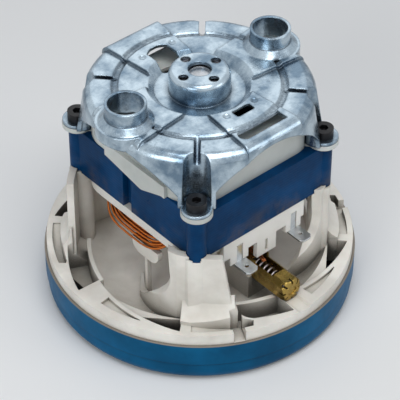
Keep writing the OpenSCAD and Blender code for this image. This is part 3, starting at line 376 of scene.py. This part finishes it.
def coilPath(side):
    low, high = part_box("stator_stack")
    middle, halfIron = (low.z + high.z) / 2, (high.z - low.z) / 2
    points = []
    for layer in range(coil["layers"]):
        for step in range(coil["turns"] * coil["stepsPerTurn"]):
            turn = step / coil["stepsPerTurn"]
            wound = turn if layer % 2 == 0 else coil["turns"] - turn
            angle = 2 * math.pi * turn
            reach = wound * coil["pitchMm"] * mm
            across, up = math.cos(angle), math.sin(angle)
            wide, tall = coil["halfWidthMm"] * mm + reach, halfIron + coil["overIronMm"] * mm + reach
            y = math.copysign(abs(across) ** coil["squareness"], across) * wide
            z = math.copysign(abs(up) ** coil["squareness"], up) * tall
            past = max(0, abs(z) - halfIron) / (coil["bulgeOverMm"] * mm)
            bulge = (coil["lowBulgeMm"] if z < 0 else coil["topBulgeMm"]) * mm * past ** coil["bulgeCurve"]
            climb = min(1, max(0, (turn - coil["turns"] + 0.5) * 2))  # half a turn to reach the next layer
            x = (coil["inFaceMm"] + (layer + climb) * coil["pitchMm"]) * mm + bulge
            points.append((side * x, side * y, middle + z))
    return points


for name, side in (("field_coil_left", -1), ("field_coil_right", 1)):
    piece = wind(name.replace("field", "wound"), [coilPath(side)], coil, "copper", "frame")
    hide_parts(name)

print("armature winding")
# twelve wound bundles, each from a slot over the end bell to the slot five further on
armature = {"bundles": 12, "span": 5, "wires": 13, "wireMm": 0.95, "wireSides": 5, "slotFloorMm": 11.8,
            "slotDepthMm": 4.6, "slotWidthDeg": 8, "innerRadiusMm": 7.6, "topReachMm": 12.2,
            "lowReachMm": 16.2, "firstLayer": 0.35, "layerSpread": 0.62, "outerDip": 0.75, "bellCurve": 0.55,
            "dipCurve": 0.8, "stepsPerEnd": 18}


def armaturePaths():
    low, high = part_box("armature_core")
    ends = ((0, 1, high.z, armature["topReachMm"]), (1, -1, low.z, -armature["lowReachMm"]))
    spanAngle = 2 * math.pi * armature["span"] / armature["bundles"]
    paths = []
    for wire in range(armature["wires"]):
        share = wire / (armature["wires"] - 1)
        # wires next to each other in the bell lie apart in the slot
        deep = (wire * 5 % armature["wires"]) / armature["wires"]
        aside = (wire * 3 % armature["wires"]) / armature["wires"] - 0.5
        slotRadius = (armature["slotFloorMm"] + armature["slotDepthMm"] * deep) * mm
        slotAngle = math.radians(armature["slotWidthDeg"] * aside)
        dip = (slotRadius - armature["innerRadiusMm"] * mm) * (1 - armature["outerDip"] * share)
        layer = armature["firstLayer"] + armature["layerSpread"] * share
        path = []
        for start, turn, edge, reach in ends:
            for step in range(armature["stepsPerEnd"] + 1):
                along = step / armature["stepsPerEnd"]
                rise = math.sin(math.pi * along) ** armature["bellCurve"]
                angle = slotAngle + spanAngle * (start + turn * along)
                out = slotRadius - dip * math.sin(math.pi * along) ** armature["dipCurve"]
                path.append((out * math.cos(angle), out * math.sin(angle), edge + reach * mm * rise * layer))
        path.append(path[0])
        paths.append(path)
    return paths


windingPiece = wind("wound_armature", armaturePaths(), armature, "copper", "rotor",
                    armature["bundles"])
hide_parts("armature_winding")

print("brush springs")
# music-wire springs behind the brushes, an even helix from the inner end of each to the outer
brushSpring = {"wireMm": 0.9, "wireSides": 10, "radiusMm": 2.9, "turns": 8, "stepsPerTurn": 20,
               "travelMm": 8}


def springPath(node):
    low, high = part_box(node)
    outward = 1 if high.y > 0 else -1
    near, far = sorted((abs(low.y), abs(high.y)))
    half = brushSpring["wireMm"] * mm / 2
    radius = brushSpring["radiusMm"] * mm
    centre = (low.z + high.z) / 2
    points = []
    steps = brushSpring["turns"] * brushSpring["stepsPerTurn"]
    for step in range(steps + 1):
        share = step / steps
        angle = 2 * math.pi * step / brushSpring["stepsPerTurn"]
        points.append((radius * math.cos(angle) * -outward,
                       outward * (near + half + (far - near - 2 * half) * share),
                       centre + radius * math.sin(angle)))
    return points, outward, near, far, centre


for end in ("front", "back"):
    path, outward, near, far, centre = springPath("brush_spring_" + end)
    piece = wind("wound_spring_" + end, [path], brushSpring, "spring", "frame")
    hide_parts("brush_spring_" + end)
    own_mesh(piece)

print("brush leads")
# the flexible copper lead that comes from under the iron, lies over the holder and dips into its window
lead = {"wires": 5, "wireMm": 0.55, "wireSides": 6, "spreadMm": 0.5, "taper": 0.25, "fromMm": 27,
        "overMm": 37.2, "intoMm": 40.5, "holderHeightMm": 10, "clearMm": 0.45, "sunkMm": 0.25,
        "dipCurve": 1.6, "archMm": 0.8, "archShare": 0.8, "archCurve": 0.7, "swayMm": 0.25, "swayTurn": 9,
        "swayStep": 2.1, "swayRise": 0.4, "stepsPerPath": 24}


def leadPaths(holder):
    low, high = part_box(holder)
    outward = 1 if high.y > 0 else -1
    roof = low.z + lead["holderHeightMm"] * mm
    paths = []
    for wire in range(lead["wires"]):
        aside = (wire - (lead["wires"] - 1) / 2) * lead["spreadMm"]
        path = []
        for step in range(lead["stepsPerPath"] + 1):
            share = step / lead["stepsPerPath"]
            along = lead["fromMm"] + (lead["intoMm"] - lead["fromMm"]) * share
            past = max(0, along - lead["overMm"]) / (lead["intoMm"] - lead["overMm"])
            swell = max(0, math.sin(math.pi * min(1, share / lead["archShare"])))
            arch = lead["archMm"] * swell ** lead["archCurve"]
            drop = (lead["clearMm"] + lead["sunkMm"]) * past ** lead["dipCurve"]
            sway = lead["swayMm"] * math.sin(lead["swayTurn"] * share + wire * lead["swayStep"])
            height = lead["clearMm"] + arch - drop + sway * lead["swayRise"]
            path.append(((aside * (1 - lead["taper"] * share) + sway) * mm, outward * along * mm,
                         roof + height * mm))
        paths.append(path)
    return paths


for end in ("front", "back"):
    wind("brush_lead_" + end, leadPaths("brush_holder_" + end), lead, "barCopper", "frame")

print("studio")
studio = {"floor": "#eff1f3", "floorShade": "#ececea", "floorSize": 6, "sky": "#f2f7ff", "skyStrength": 0.26,
          "aim": (0, 0, 0.05)}
lamps = [
    {"name": "topSoftbox", "at": (-0.1, -0.3, 1.0), "size": 0.6, "watts": 4.8},
    {"name": "leftSoftbox", "at": (-0.9, -0.35, 0.55), "size": 0.5, "watts": 3.3},
    {"name": "rightSoftbox", "at": (0.55, -0.95, 0.5), "size": 0.5, "watts": 1.5},
    {"name": "backSoftbox", "at": (0.5, 0.8, 0.8), "size": 0.9, "watts": 1.3},
]


def makeSky():
    # a weak sky lights the object, while the camera and the metal see the pale background
    world = bpy.data.worlds.new("studio")
    tree = emptyTree(world)
    rays = addNode(tree, "ShaderNodeLightPath").node.outputs
    seeing = rays["Is Camera Ray"]
    for other in ("Is Transmission Ray", "Is Glossy Ray"):
        seeing = addNode(tree, "ShaderNodeMath", {0: seeing, 1: rays[other]}, operation="MAXIMUM")
    glow = {"Color": linear(studio["sky"]), "Strength": studio["skyStrength"]}
    light = addNode(tree, "ShaderNodeBackground", glow)
    seen = addNode(tree, "ShaderNodeBackground", {"Color": linear(studio["floor"]), "Strength": 1.0})
    mixed = addNode(tree, "ShaderNodeMixShader", {0: seeing, 1: light, 2: seen})
    addNode(tree, "ShaderNodeOutputWorld", {"Surface": mixed})
    bpy.context.scene.world = world


def makeLamp(lamp):
    data = bpy.data.lights.new(lamp["name"], "AREA")
    data.size = lamp["size"]
    data.energy = lamp["watts"]
    holder = bpy.data.objects.new(lamp["name"], data)
    holder.location = lamp["at"]
    holder.rotation_euler = (Vector(studio["aim"]) - holder.location).to_track_quat("-Z", "Y").to_euler()
    bpy.context.scene.collection.objects.link(holder)


def makeFloor():
    # matt studio paper, almost even in tone
    mesh = bpy.data.meshes.new("floor")
    half = studio["floorSize"] / 2
    outline = [(-half, -half, 0), (half, -half, 0), (half, half, 0), (-half, half, 0)]
    mesh.from_pydata(outline, [], [(0, 1, 2, 3)])
    floor = bpy.data.objects.new("floor", mesh)
    bpy.context.scene.collection.objects.link(floor)
    material = bpy.data.materials.new("studio_paper")
    tree = emptyTree(material)
    place = addNode(tree, "ShaderNodeTexCoord", out="Object")
    clouds = pattern(tree, place, {"by": "clouds", "sizeMm": 300, "detail": 2, "fine": 0.5})
    inputs = {0: clouds, 6: linear(studio["floor"]), 7: linear(studio["floorShade"])}
    tone = addNode(tree, "ShaderNodeMix", inputs, 2, data_type="RGBA")
    paper = addNode(tree, "ShaderNodeBsdfPrincipled", {"Base Color": tone, "Roughness": 0.9})
    addNode(tree, "ShaderNodeOutputMaterial", {"Surface": paper})
    mesh.materials.append(material)


bpy.context.scene.view_settings.view_transform = "Standard"
makeSky()
for lamp in lamps:
    makeLamp(lamp)
makeFloor()
